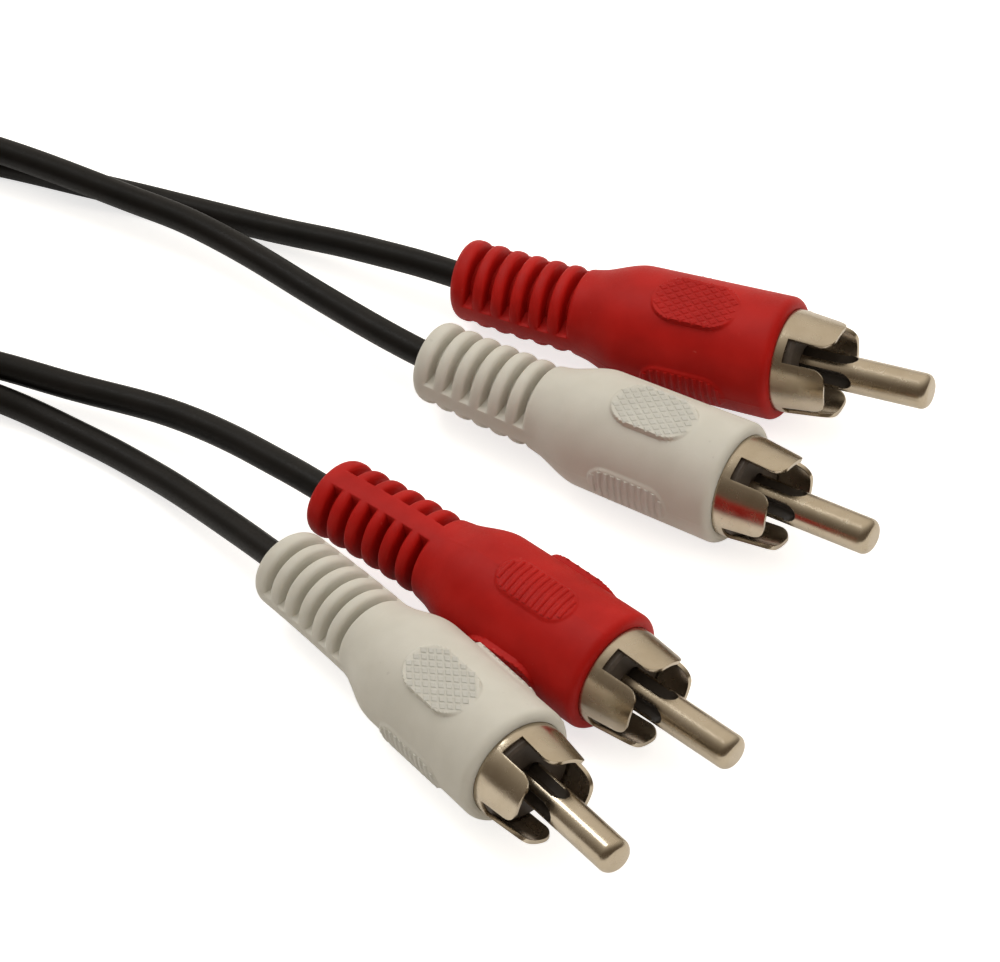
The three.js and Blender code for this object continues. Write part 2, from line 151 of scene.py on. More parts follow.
def plug_place(name, turn=0.0):
    """The place of one plug's axis, with a turn about it in degrees."""
    plug = PLUGS[name]
    tilt = math.radians(plug["tilt"])
    height = rest_height(tilt, math.radians(plug["boot"]))
    spot = Vector((plug["at"][0] * MM, plug["at"][1] * MM, height))
    return (
        Matrix.Translation(spot)
        @ Matrix.Rotation(math.radians(plug["heading"]), 4, "Z")
        @ Matrix.Rotation(-tilt, 4, "Y")
        @ Matrix.Rotation(-math.radians(turn), 4, "X")
    )


def bent_aside(name, station):
    """How far the soft relief is bent to the left at a station."""
    past = max(BEND_START - station, 0) / (BOOT_LENGTH + BEND_START)
    return PLUGS[name]["bend"] * MM * past * past


for name in PLUGS:
    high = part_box(f"{name}_pin")[1]
    tip = plug_place(name) @ Vector((PIN_TIP, 0, 0))
    print(name, "tip, mm", [round(v / MM, 2) for v in tip], "CAD pin ends at x", round(high.x / MM, 2))

# %% [markdown]
# ## The cord
#
# The lead has two channels, red to red and white to white, so it is two long cords. Each one leaves a
# plug, crosses the picture, is wound in the coil and comes back to the plug at the other end. The parts
# that show follow points picked along the cords in the photograph, at judged heights, and worked out
# in millimetres through the fitted camera. Past the picture's edge they are guessed. They are the
# same ones that the CAD model's leads follow. The coil's turns come from a formula. The points guide a
# B-spline, which has no kink anywhere.

# %% Cord routes
CORD_DIAMETER = 2.5 * MM
JACKET_FRONT = -12 * MM  # station where the jacket is stripped inside the boot
LEADS = {  # points of each lead, in millimetres, from its collar to the coil
    "lead1": [
        (-14.5, 36.9, 4), (-18.1, 38.9, 3.6), (-21.6, 41.1, 3),
        (-25.2, 43.1, 2.3), (-28.9, 45.2, 1.7), (-32.5, 47.1, 1.4),
        (-36.2, 48.8, 1.3), (-39.8, 50.4, 1.3), (-43.5, 51.9, 1.3),
        (-47.2, 53.5, 1.3), (-50.9, 55.1, 1.3), (-56.9, 57.4, 1.3),
        (-63.7, 59.6, 1.4), (-71.5, 61.9, 1.7),
    ],
    "lead2": [
        (-16.5, 26.2, 4.7), (-19.1, 28.7, 4.5), (-21.8, 31.6, 4.1),
        (-25.3, 35.3, 3.7), (-28.8, 39, 3.5), (-32.4, 42.2, 3.5),
        (-36, 45.1, 3.5), (-39.6, 47.2, 3.5), (-43.3, 49.4, 3.7),
        (-46.9, 51.6, 3.8), (-50.6, 53.7, 3.95), (-56.2, 56.6, 4.1),
        (-63.6, 59.5, 4.2), (-71.5, 61.9, 4.4),
    ],
    "lead3": [
        (-25.5, 9.4, 6), (-28.1, 11.9, 5.6), (-30.7, 14.7, 5),
        (-34.2, 18, 4.2), (-37.8, 20.8, 3.5), (-41.3, 22.7, 3.1),
        (-44.9, 24.4, 2.9), (-48.4, 26, 3), (-52, 27.6, 3.2),
        (-58.5, 29.6, 3.8), (-65.5, 28.5, 4.9), (-72.8, 26.1, 6.1),
    ],
    "lead4": [
        (-30, 3.9, 4.2), (-31.7, 6.1, 3.7), (-34.4, 9.6, 2.9),
        (-37, 12.8, 2.2), (-39.7, 15.7, 1.6), (-42.3, 18.1, 1.4),
        (-45, 20.2, 1.3), (-48.5, 22.9, 1.3), (-52.1, 24.9, 1.8),
        (-58.3, 26.8, 3.4), (-65.3, 25.9, 5.7), (-72.5, 23.9, 7.8),
    ],
}
COIL_CENTRE = Vector((-92.4, 44.7, 0)) * MM
COIL_OUTER = 24.2 * MM  # radius of the outermost turn's middle
COIL_PITCH = 2.8 * MM
COIL_LAYER = 2.6 * MM
COIL_BOTTOM = 0.8 * MM
COIL_START = 75  # degrees, counted on round all the turns
COIL_END = 2445
SHIFT_ANGLE = 60  # over which a turn moves one place in or out
SHIFTS_IN = (300, 660, 1020)
CLIMB_START = 1320  # the pair climbs to the upper turns at the coil's inside
CLIMB_ANGLE = 80
SHIFTS_OUT = (1620, 1980, 2340)
COIL_STEP = 9  # degrees between the points of a turn
COIL_DROOP = 0.75 * MM  # by which the side away from the tie sinks to the floor


def eased(value):
    """0 to 1, starting and ending level."""
    value = min(max(value, 0.0), 1.0)
    return value * value * (3 - 2 * value)


def coil_point(angle, channel):
    """A point of the winding. Channel 0 is the lower cord of the pair and 1 is the upper one."""
    turn = math.radians(angle)
    inward = sum(eased((angle - start) / SHIFT_ANGLE) for start in SHIFTS_IN)
    outward = sum(eased((angle - start) / SHIFT_ANGLE) for start in SHIFTS_OUT)
    radius = COIL_OUTER - COIL_PITCH * (inward - outward)
    climb = 2 * COIL_LAYER * eased((angle - CLIMB_START) / CLIMB_ANGLE)
    droop = COIL_DROOP * (1 + math.cos(turn)) / 2
    height = COIL_BOTTOM + CORD_DIAMETER / 2 + channel * COIL_LAYER + climb - droop
    return COIL_CENTRE + Vector((radius * math.cos(turn), radius * math.sin(turn), height))


def smooth_path(points, samples=4):
    """Points along a cubic B-spline that starts and ends at the first and last of the given points."""
    points = [2 * points[0] - points[1], *points, 2 * points[-1] - points[-2]]
    path = []
    for four in zip(points, points[1:], points[2:], points[3:]):
        for k in range(samples):
            t = k / samples
            shares = ((1 - t) ** 3, 3 * t**3 - 6 * t**2 + 4, 3 * t * (1 + t - t * t) + 1, t**3)
            path.append(sum((point * share for point, share in zip(four, shares)), Vector()) / 6)
    path.append((points[-3] + 4 * points[-2] + points[-1]) / 6)
    return path


def inside_boot(name):
    """Points of the cord inside a boot, from its wired end back to the collar."""
    steps = 7
    stations = [JACKET_FRONT + (-BOOT_LENGTH - JACKET_FRONT) * k / steps for k in range(steps + 1)]
    return [plug_place(name) @ Vector((station, bent_aside(name, station), 0)) for station in stations]


def cord_path(first, last, channel):
    """The whole way of one channel, from inside one plug to inside the other."""
    ends = []
    for number in (first, last):
        lead = [Vector(point) * MM for point in LEADS[f"lead{number}"]]
        ends.append(inside_boot(f"plug{number}") + lead)
    turns = [coil_point(angle, channel) for angle in range(COIL_START, COIL_END + 1, COIL_STEP)]
    return smooth_path(ends[0] + turns + ends[1][::-1])


def path_length(path):
    """The length along a path's points."""
    return sum((b - a).length for a, b in zip(path, path[1:]))


# %% Cords
def add_cord(name, path):
    """A round cord as a curve with a bevel, whose single spline is the cord's own line."""
    curve = bpy.data.curves.new(name, "CURVE")
    curve.dimensions = "3D"
    spline = curve.splines.new("POLY")
    spline.points.add(len(path) - 1)
    for point, place in zip(spline.points, path):
        point.co = (*place, 1)
        point.radius = CORD_DIAMETER / 2
    spline.use_smooth = True
    curve.bevel_depth = 1  # times each point's own radius
    curve.bevel_resolution = 4
    curve.use_fill_caps = True
    return in_scene(name, curve)


cords = {}
for name, first, last, channel in (("red_channel_cord", 1, 3, 0), ("white_channel_cord", 2, 4, 1)):
    path = cord_path(first, last, channel)
    cord = add_cord(name, path)
    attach(cord, "root")
    cords[name] = cord
    print(name, "length, m", round(path_length(path), 4), "points", len(path))
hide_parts("lead1", "lead3", "coil", "plug1_jacket", "plug3_jacket")
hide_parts("lead2", "lead4", "plug2_jacket", "plug4_jacket")

# %% [markdown]
# ## Helpers for turned and moulded meshes
#
# The boot, the pin and the insulator are all round about the plug's axis, but with slots, pads and
# flutes that a plain lathe can't make. So a grid of stations along the axis and angles round it is
# lifted to whatever radius a function gives for each of its points. That keeps every edge where it is
# wanted, because the rows can stand close together at an edge and far apart on a plain stretch.

# %% Mesh helpers
def finished(name, mesh, material, nodes=(), place=None, crease=35):
    """Links a mesh as a piece on the cable, moved to its place, with its finish."""
    if place is not None:
        mesh.transform(place)
    mesh.materials.clear()
    mesh.materials.append(material)
    mesh.shade_smooth()
    mesh.set_sharp_from_angle(angle=math.radians(crease))
    piece = in_scene(name, mesh)
    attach(piece, "root")
    if nodes:
        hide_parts(*nodes)
    return piece


def new_mesh(name, points, faces):
    mesh = bpy.data.meshes.new(name)
    mesh.from_pydata(points, [], faces)
    return mesh


def skin_faces(rows, columns, closed=False):
    """Faces between rows of points that close round, and from the last row to the first if closed."""
    index = np.arange(rows * columns).reshape(rows, columns)
    nearer, further = (index, np.roll(index, -1, 0)) if closed else (index[:-1], index[1:])
    faces = np.stack([further, np.roll(further, -1, 1), np.roll(nearer, -1, 1), nearer], axis=2)
    return faces.reshape(-1, 4).tolist()


def grid_mesh(name, stations, angles, radii):
    """A closed skin about the X axis: radii holds one row of radii for each station."""
    stations = np.asarray(stations)[:, None]
    radii = np.asarray(radii) + 0 * angles[None, :]
    points = np.stack(
        [stations + 0 * radii, radii * np.sin(angles)[None, :], radii * np.cos(angles)[None, :]], axis=2
    ).reshape(-1, 3)
    return new_mesh(name, points.tolist(), skin_faces(*radii.shape))


def lathe_mesh(name, outline, sides=96):
    """A ring turned about the X axis from an outline of (station, radius) points, which it closes."""
    outline = [*outline, outline[0]]
    angles = np.linspace(0, 2 * math.pi, sides, endpoint=False)
    stations = [station for station, radius in outline]
    radii = np.array([[radius] for station, radius in outline])
    mesh = grid_mesh(name, stations, angles, radii)
    merge(mesh)
    return mesh


def merge(mesh, distance=0.002 * MM):
    """Joins the points that meet and turns all faces outwards."""
    work = bmesh.new()
    work.from_mesh(mesh)
    bmesh.ops.remove_doubles(work, verts=work.verts, dist=distance)
    bmesh.ops.dissolve_degenerate(work, edges=work.edges, dist=distance / 4)
    bmesh.ops.recalc_face_normals(work, faces=work.faces)
    work.to_mesh(mesh)
    work.free()


# %% [markdown]
# ## Finishes
#
# Each finish is a Principled shader with small changes in colour and roughness and a fine bump, all at
# the real scale. They read Object coordinates, which are metres here, so a scale of 2000 gives grains of
# half a millimetre.

# %% Material helpers
def feed(tree, node, inputs):
    """Links each of these inputs of a node to a socket, or sets it to a value."""
    for name, value in inputs.items():
        if isinstance(value, bpy.types.NodeSocket):
            tree.links.new(value, node.inputs[name])
        else:
            node.inputs[name].default_value = value


def made(tree, kind, inputs):
    """A new node with these inputs."""
    node = tree.nodes.new(kind)
    feed(tree, node, inputs)
    return node


def new_material(name):
    """A material with its node tree and its Principled shader."""
    material = bpy.data.materials.new(name)
    material.use_nodes = True
    return material, material.node_tree, material.node_tree.nodes["Principled BSDF"]


def noise(tree, scale, detail=3.0):
    """A noise texture's grey value, about 0.3 to 0.7 at most places."""
    place = tree.nodes.new("ShaderNodeTexCoord").outputs["Object"]
    inputs = {"Vector": place, "Scale": scale, "Detail": detail, "Roughness": 0.55}
    return made(tree, "ShaderNodeTexNoise", inputs).outputs["Fac"]


def ramp(tree, value, stops):
    """A colour ramp with stops of (place, colour)."""
    node = made(tree, "ShaderNodeValToRGB", {"Fac": value})
    elements = node.color_ramp.elements
    while len(elements) < len(stops):
        elements.new(0.5)
    for element, (place, colour) in zip(elements, stops):
        element.position = place
        element.color = (*colour, 1)
    return node.outputs["Color"]


def spread(tree, value, low, high):
    """Maps a noise of 0.3 to 0.7 to a range of values."""
    limits = {"From Min": 0.3, "From Max": 0.7, "To Min": low, "To Max": high}
    return made(tree, "ShaderNodeMapRange", {"Value": value, **limits}).outputs["Result"]


def mixed(tree, share, first, colour):
    """Mixes a colour socket with a plain colour, by a socket's share."""
    node = tree.nodes.new("ShaderNodeMix")
    node.data_type = "RGBA"
    feed(tree, node, {"Factor": share, 6: first, 7: (*colour, 1)})
    return node.outputs[2]


def bump(tree, height, distance, strength=1.0, under=None):
    """A normal with bumps of this height in metres, on top of another bump if there is one under it."""
    node = made(tree, "ShaderNodeBump", {"Distance": distance, "Strength": strength, "Height": height})
    if under is not None:
        feed(tree, node, {"Normal": under})
    return node.outputs["Normal"]


# %% Soft moulded PVC
def moulded_pvc(name, shade, light, dust, roughness, depth):
    """Soft PVC as it leaves the mould: cloudy colour, a fine matt grain and a few dust specks."""
    material, tree, shader = new_material(name)
    clouds = ramp(tree, noise(tree, 260), [(0.35, shade), (0.65, light)])
    specks = ramp(tree, noise(tree, 1500, 1.0), [(0.76, (0, 0, 0)), (0.82, (0.25, 0.25, 0.25))])
    grain = noise(tree, 5200, 2.0)
    waves = bump(tree, noise(tree, 420, 1.0), 0.03 * MM)
    feed(tree, shader, {
        "Base Color": mixed(tree, specks, clouds, dust),
        "Roughness": spread(tree, grain, roughness - 0.05, roughness + 0.07),
        "Normal": bump(tree, grain, 0.012 * MM, 0.6, waves),
        "Specular IOR Level": 0.22, "Subsurface Weight": 0.35, "Subsurface Radius": (1, 0.9, 0.8),
        "Subsurface Scale": depth,
    })
    return material


RED = moulded_pvc(
    "red moulded PVC", (0.42, 0.006, 0.004), (0.50, 0.010, 0.007), (0.65, 0.16, 0.12), 0.52, 0.3 * MM
)
WHITE = moulded_pvc(
    "white moulded PVC", (0.64, 0.625, 0.565), (0.68, 0.665, 0.605), (0.45, 0.43, 0.40), 0.5, 0.9 * MM
)


# %% Nickel, plastic and cord finishes
def nickel():
    """Satin nickel over stamped or turned brass: warm, a little cloudy and softly reflecting."""
    material, tree, shader = new_material("nickel plating")
    clouds = noise(tree, 330)
    feed(tree, shader, {
        "Base Color": ramp(tree, clouds, [(0.3, (0.48, 0.405, 0.30)), (0.7, (0.56, 0.485, 0.38))]),
        "Roughness": spread(tree, noise(tree, 900, 2.0), 0.22, 0.29),
        "Normal": bump(tree, clouds, 0.003 * MM, 0.3), "Metallic": 1.0,
    })
    return material


def matt_plastic(name, shade, light, roughness):
    """Plain plastic with a fine grain."""
    material, tree, shader = new_material(name)
    grain = noise(tree, 2600)
    feed(tree, shader, {
        "Base Color": ramp(tree, grain, [(0.35, shade), (0.65, light)]),
        "Roughness": spread(tree, grain, roughness - 0.06, roughness + 0.06),
        "Normal": bump(tree, grain, 0.02 * MM, 0.5),
    })
    return material


def cord_jacket():
    """Black PVC jacket: nearly black and warm, with the faint sheen of extruded cord."""
    material, tree, shader = new_material("black PVC jacket")
    grain = noise(tree, 4200, 2.0)
    shades = [(0.3, (0.004, 0.0035, 0.003)), (0.7, (0.008, 0.0065, 0.0055))]
    waves = bump(tree, noise(tree, 350, 1.0), 0.02 * MM)
    feed(tree, shader, {
        "Base Color": ramp(tree, noise(tree, 300), shades),
        "Roughness": spread(tree, grain, 0.42, 0.54),
        "Normal": bump(tree, grain, 0.01 * MM, 0.5, waves), "Specular IOR Level": 0.22,
    })
    return material


def copper():
    """Bare copper strands, for the wires inside."""
    material, tree, shader = new_material("bare copper")
    strands = noise(tree, 3500)
    feed(tree, shader, {
        "Base Color": ramp(tree, strands, [(0.3, (0.55, 0.2, 0.1)), (0.7, (0.75, 0.34, 0.2))]),
        "Roughness": spread(tree, strands, 0.25, 0.4), "Metallic": 1.0,
    })
    return material


NICKEL = nickel()
BLACK = matt_plastic("black insulating plastic", (0.054, 0.041, 0.031), (0.070, 0.054, 0.042), 0.5)
# Painted shade: a near-black finish that stands for the shade in the pin's deep flutes. It goes on their
# faces in place of the nickel.
FLUTE_SHADE = matt_plastic("painted shade in the flutes", (0.026, 0.019, 0.013), (0.036, 0.027, 0.019), 0.5)
MILKY = matt_plastic("milky polyethylene", (0.62, 0.6, 0.54), (0.7, 0.68, 0.62), 0.45)
JACKET = cord_jacket()
COPPER = copper()
for cord in cords.values():
    cord.data.materials.append(JACKET)
CARRIED_OVER = {
    "premould": BLACK, "braid": COPPER, "conductor": COPPER, "core": MILKY, "crimp": NICKEL,
}
for name in PLUGS:
    for piece, finish in CARRIED_OVER.items():
        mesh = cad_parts[f"{name}_{piece}"].data
        mesh.materials.clear()
        mesh.materials.append(finish)

# %% [markdown]
# ## The moulded boot
#
# A boot is injected round the finished joint in one shot of soft PVC. From the cord forward it has a
# rounded collar, a strain relief with slots on two sides and two plain spines between them, a smooth
# neck, a shoulder and the barrel with four grip pads. One function gives the radius at any station and
# angle, and the grid's rows crowd together at the edges of the slots.

# %% Boot sizes
NECK_RADIUS = 3.87 * MM
SHOULDER_LENGTH = 5.6 * MM
RIM_ROUNDING = 0.8 * MM
RELIEF_SLOTS = 6
RELIEF_PITCH = 1.9 * MM
RELIEF_SLOT_WIDTH = 0.75 * MM
RELIEF_FIRST = -29.6 * MM
RELIEF_CORE = 2.3 * MM
RIB_ROUNDING = 0.42 * MM
SPINE_WIDTH = 1.9 * MM
SLOT_END_SOFTNESS = 0.35 * MM  # rounding where a slot runs out at a spine
PAD_EDGE = 0.14 * MM  # width of the slope at a pad's edge
CROSSHATCH_DEPTH = 0.05 * MM  # of the studs on the flat pads, which stand on a lower surface
RIB_DEPTH = 0.11 * MM  # of the bars on the ribbed pads
SEAM_HEIGHT = 0.04 * MM
SEAM_HALF_ANGLE = math.radians(1.5)
RELIEF_LAST = RELIEF_FIRST + (RELIEF_SLOTS - 1) * RELIEF_PITCH
BOOT_COLUMNS = 240


def plain_radius(stations):
    """The boot without slots and pads: collar, relief, neck, shoulder, barrel and rounded rim."""
    collar = -BOOT_LENGTH + COLLAR_ROUNDING
    foot = -BARREL_LENGTH - SHOULDER_LENGTH
    along = np.clip((stations - collar) / (foot - collar), 0, 1)
    relief = COLLAR_RADIUS + (NECK_RADIUS - COLLAR_RADIUS) * along
    rise = np.clip((stations - foot) / SHOULDER_LENGTH, 0, 1)
    taper = np.clip(stations / BARREL_LENGTH + 1, 0, 1)
    barrel = BARREL_BACK_RADIUS + (BARREL_RADIUS - BARREL_BACK_RADIUS) * taper
    radius = relief + (barrel - NECK_RADIUS) * rise * rise * (3 - 2 * rise)
    back = np.clip((collar - stations) / COLLAR_ROUNDING, 0, 1)
    radius -= COLLAR_ROUNDING * (1 - np.sqrt(1 - back**2))
    front = np.clip((stations + RIM_ROUNDING) / RIM_ROUNDING, 0, 1)
    return radius - RIM_ROUNDING * (1 - np.sqrt(1 - front**2))


def soft_minimum(first, second, softness):
    """The lesser of two values, with the corner between them rounded off."""
    near = np.maximum(softness - np.abs(first - second), 0) / softness
    return np.minimum(first, second) - near * near * softness / 4


def slotted(radius, stations, angles):
    """Cuts the relief's slots. Between them the ribs are rounded, and the spines stay whole."""
    cosine = np.maximum(np.abs(np.cos(angles)), 1e-6)
    bottom = soft_minimum(radius, np.maximum(RELIEF_CORE, SPINE_WIDTH / 2 / cosine), SLOT_END_SOFTNESS)
    nearest = RELIEF_FIRST + RELIEF_PITCH * np.clip(
        np.round((stations - RELIEF_FIRST) / RELIEF_PITCH), 0, RELIEF_SLOTS - 1
    )
    outside = np.abs(stations - nearest) - RELIEF_SLOT_WIDTH / 2
    curve = np.clip(RIB_ROUNDING - outside, 0, RIB_ROUNDING)
    drop = RIB_ROUNDING - np.sqrt(RIB_ROUNDING**2 - curve**2)
    drop = np.where(outside < 0, 10 * RIB_ROUNDING, drop)
    return np.maximum(bottom, radius - drop)


def with_pads(radius, stations, angles):
    """Raises the two flat pads and the two ribbed ones, each a round-ended strip with a soft edge."""
    flat = (FLAT_PAD_WIDTH, 0, FLAT_PAD_HEIGHT - CROSSHATCH_DEPTH)
    ribbed = (RIBBED_PAD_WIDTH, math.pi / 2, RIBBED_PAD_RADIUS - RIB_DEPTH)
    for width, middle, reach in (flat, ribbed):
        away = np.abs(angles - middle - math.pi * np.round((angles - middle) / math.pi))
        if middle == 0:
            face = reach / np.maximum(np.cos(away), 0.1)
            across = reach * np.tan(np.minimum(away, 1.2))
        else:
            face = reach + 0 * angles
            across = reach * away
        straight = (PAD_LENGTH - width) / 2
        along = np.maximum(np.abs(stations - (PAD_FRONT - PAD_LENGTH / 2)) - straight, 0)
        inside = np.clip((width / 2 - np.hypot(along, across)) / PAD_EDGE + 0.5, 0, 1)
        radius = radius + inside * np.maximum(face - radius, 0)
    return radius


def seam_lift(stations, angles):
    """The fine parting line of the mould, along both spines, on the barrel and the neck."""
    away = np.minimum(np.abs(angles - math.pi / 2), np.abs(angles - 1.5 * math.pi))
    here = (stations > RELIEF_LAST + RELIEF_PITCH) & (stations < -RIM_ROUNDING / 2)
    return np.where(here, SEAM_HEIGHT * np.clip(1 - away / SEAM_HALF_ANGLE, 0, 1), 0)


def boot_stations():
    """Rows along the boot, close together at the slots' edges, the pads' ends and the rim."""
    half = RELIEF_SLOT_WIDTH / 2
    past_edge = np.array([-0.03, 0, 0.03, 0.08, 0.15, 0.24]) * MM
    offsets = np.concatenate([[0], half + past_edge, [half + RIB_ROUNDING, RELIEF_PITCH / 2 - 0.04 * MM]])
    turns = np.linspace(0, math.pi / 2, 9)
    rows = [-BOOT_LENGTH + COLLAR_ROUNDING * (1 - np.cos(turns))]
    for k in range(RELIEF_SLOTS):
        rows += [RELIEF_FIRST + k * RELIEF_PITCH + offsets, RELIEF_FIRST + k * RELIEF_PITCH - offsets[1:]]
    pad_back = PAD_FRONT - PAD_LENGTH
    rows.append(np.linspace(RELIEF_LAST + RELIEF_PITCH, pad_back - 0.3 * MM, 26))
    rows.append(np.linspace(pad_back - 0.15 * MM, PAD_FRONT + 0.15 * MM, 82))
    rows.append(np.linspace(PAD_FRONT + 0.4 * MM, -RIM_ROUNDING - 0.2 * MM, 4))
    rows.append(-RIM_ROUNDING * (1 - np.sin(turns)))
    rows = np.unique(np.round(np.concatenate(rows), 8))
    return rows[np.append(True, np.diff(rows) > 0.015 * MM)]


# %% Boot mesh
BOOT_BORE = [  # (station, radius) in millimetres, from the rim back to the collar: snug round shell and cord
    (0, 4.58), (-6.3, 4.58), (-6.3, 3.9), (-14.6, 3.9), (-14.6, 1.55), (-31.2, 1.55), (-31.7, 1.29),
]


def boot_mesh():
    """The boot's outside and its bore as one closed skin."""
    stations = boot_stations()
    angles = np.linspace(0, 2 * math.pi, BOOT_COLUMNS, endpoint=False)
    grid_s = stations[:, None] + 0 * angles[None, :]
    grid_a = 0 * stations[:, None] + angles[None, :]
    radii = with_pads(slotted(plain_radius(grid_s), grid_s, grid_a), grid_s, grid_a)
    radii = radii + seam_lift(grid_s, grid_a)
    bore = [(station * MM, radius * MM) for station, radius in BOOT_BORE]
    stations = np.concatenate([stations, [station for station, radius in bore], stations[:1]])
    radii = np.concatenate([radii, [[radius] * BOOT_COLUMNS for station, radius in bore], radii[:1]])
    mesh = grid_mesh("boot", stations, angles, radii)
    merge(mesh)
    return mesh


BOOT = boot_mesh()
print("boot faces:", len(BOOT.polygons))
FINISH_OF = {"red": (RED, "red_pvc"), "white": (WHITE, "white_pvc")}


def bent_boot(name):
    """A copy of the boot, turned about its axis, with its relief bent the way the cord pulls it."""
    mesh = BOOT.copy()
    mesh.transform(Matrix.Rotation(-math.radians(PLUGS[name]["boot"]), 4, "X"))
    points = np.zeros(len(mesh.vertices) * 3)
    mesh.vertices.foreach_get("co", points)
    points = points.reshape(-1, 3)
    points[:, 1] += [bent_aside(name, station) for station in points[:, 0]]
    mesh.vertices.foreach_set("co", points.ravel())
    mesh.update()
    return mesh


for name, plug in PLUGS.items():
    material, slot = FINISH_OF[plug["colour"]]
    finished(f"{name}_moulded_boot", bent_boot(name), material, [f"{name}_boot"], plug_place(name), 40)

# %% [markdown]
# ## Grip patterns
#
# The two flat pads are crosshatched and the two on the spines are ribbed. The pattern is the same small
# stud or bar many times over, so Geometry Nodes suits it. A tree lays them out flat, keeps those that lie
# within the pad's round-ended outline, bends the sheet round the barrel where the pad is round, and makes
# it real geometry.

# %% Grip pattern tree
GRIP_MARGIN = 0.25 * MM  # between the pattern and the pad's edge
RIB_PITCH = 0.68 * MM
STUD_LONG = 1.12 * MM
STUD_WIDE = 0.81 * MM


def math_node(tree, operation, first, second=0):
    """The result of a Math node, whose values are sockets or numbers."""
    node = made(tree, "ShaderNodeMath", {0: first, 1: second})
    node.operation = operation
    return node.outputs[0]


def vector_node(tree, **parts):
    """A vector with these X, Y and Z, and 0 where none is given."""
    return made(tree, "ShaderNodeCombineXYZ", parts).outputs[0]


def position_parts(tree):
    """The X, Y and Z of the points that a node works on."""
    position = tree.nodes.new("GeometryNodeInputPosition").outputs[0]
    return made(tree, "ShaderNodeSeparateXYZ", {0: position}).outputs


def laid_out(tree, given, shift):
    """Points in rows on a flat grid about the origin, shifted by this share of a pitch both ways."""
    reach = math_node(tree, "ADD", given["Straight half"], given["End radius"])
    columns = math_node(tree, "ROUND", math_node(tree, "DIVIDE", reach, given["Pitch along"]))
    first = math_node(tree, "SUBTRACT", shift, columns)
    middle = math_node(tree, "DIVIDE", math_node(tree, "SUBTRACT", given["Rows"], 1), 2)
    lowest = math_node(tree, "SUBTRACT", shift, middle)
    line = made(tree, "GeometryNodeMeshLine", {
        "Count": math_node(tree, "ADD", math_node(tree, "MULTIPLY", columns, 2), 1),
        "Offset": vector_node(tree, X=given["Pitch along"]),
        "Start Location": vector_node(
            tree, X=math_node(tree, "MULTIPLY", first, given["Pitch along"]),
            Y=math_node(tree, "MULTIPLY", lowest, given["Pitch across"]),
        ),
    })
    points = made(tree, "GeometryNodeMeshToPoints", {"Mesh": line.outputs["Mesh"]})
    copies = tree.nodes.new("GeometryNodeDuplicateElements")
    copies.domain = "POINT"
    feed(tree, copies, {"Geometry": points.outputs["Points"], "Amount": given["Rows"]})
    sideways = math_node(tree, "MULTIPLY", copies.outputs["Duplicate Index"], given["Pitch across"])
    moved = {"Geometry": copies.outputs["Geometry"], "Offset": vector_node(tree, Y=sideways)}
    return made(tree, "GeometryNodeSetPosition", moved).outputs["Geometry"]


def half_chord(tree, given, along):
    """Half the pad's width at a place along it: the end radius on the straight, and less at the ends."""
    past = math_node(tree, "SUBTRACT", math_node(tree, "ABSOLUTE", along), given["Straight half"])
    past = math_node(tree, "MAXIMUM", past, 0)
    whole = math_node(tree, "MULTIPLY", given["End radius"], given["End radius"])
    left = math_node(tree, "SUBTRACT", whole, math_node(tree, "MULTIPLY", past, past))
    return math_node(tree, "SQRT", math_node(tree, "MAXIMUM", left, 0))


def raised(tree, given, flat_pad):
    """Where a point of the flat sheet goes: straight up to a flat pad, or round the barrel."""
    flat = position_parts(tree)
    reach = math_node(tree, "ADD", flat["Z"], given["Surface"])
    if flat_pad:
        return vector_node(tree, X=flat["X"], Y=flat["Y"], Z=reach)
    turn = math_node(tree, "DIVIDE", flat["Y"], given["Surface"])
    aside = math_node(tree, "MULTIPLY", reach, math_node(tree, "SINE", turn))
    up = math_node(tree, "MULTIPLY", reach, math_node(tree, "COSINE", turn))
    return vector_node(tree, X=flat["X"], Y=aside, Z=up)


def grip_tree(name, flat_pad):
    """A tree that lays staggered studs on a flat pad, or one row of bars round the barrel."""
    tree = bpy.data.node_groups.new(name, "GeometryNodeTree")
    tree.interface.new_socket("Geometry", in_out="OUTPUT", socket_type="NodeSocketGeometry")
    sizes = ("Pitch along", "Pitch across", "Straight half", "End radius", "Surface")
    kinds = {**dict.fromkeys(sizes, "Float"), "Rows": "Int", "Stud": "Object", "Finish": "Material"}
    for label, kind in kinds.items():
        tree.interface.new_socket(label, in_out="INPUT", socket_type=f"NodeSocket{kind}")
    given = tree.nodes.new("NodeGroupInput").outputs
    layouts = tree.nodes.new("GeometryNodeJoinGeometry")
    for shift in ((0, 0.5) if flat_pad else (0,)):
        feed(tree, layouts, {"Geometry": laid_out(tree, given, shift)})
    spot = position_parts(tree)
    chord = half_chord(tree, given, spot["X"])
    place = made(tree, "GeometryNodeInstanceOnPoints", {
        "Points": layouts.outputs[0],
        "Selection": math_node(tree, "LESS_THAN", math_node(tree, "ABSOLUTE", spot["Y"]), chord),
        "Instance": made(tree, "GeometryNodeObjectInfo", {"Object": given["Stud"]}).outputs["Geometry"],
    })
    if not flat_pad:
        shorter = math_node(tree, "DIVIDE", chord, given["End radius"])
        feed(tree, place, {"Scale": vector_node(tree, X=1, Y=shorter, Z=1)})
    real = made(tree, "GeometryNodeRealizeInstances", {"Geometry": place.outputs["Instances"]})
    bent = {"Geometry": real.outputs["Geometry"], "Position": raised(tree, given, flat_pad)}
    bent = made(tree, "GeometryNodeSetPosition", bent).outputs["Geometry"]
    painted = made(tree, "GeometryNodeSetMaterial", {"Geometry": bent, "Material": given["Finish"]})
    made(tree, "NodeGroupOutput", {"Geometry": painted.outputs["Geometry"]})
    return tree


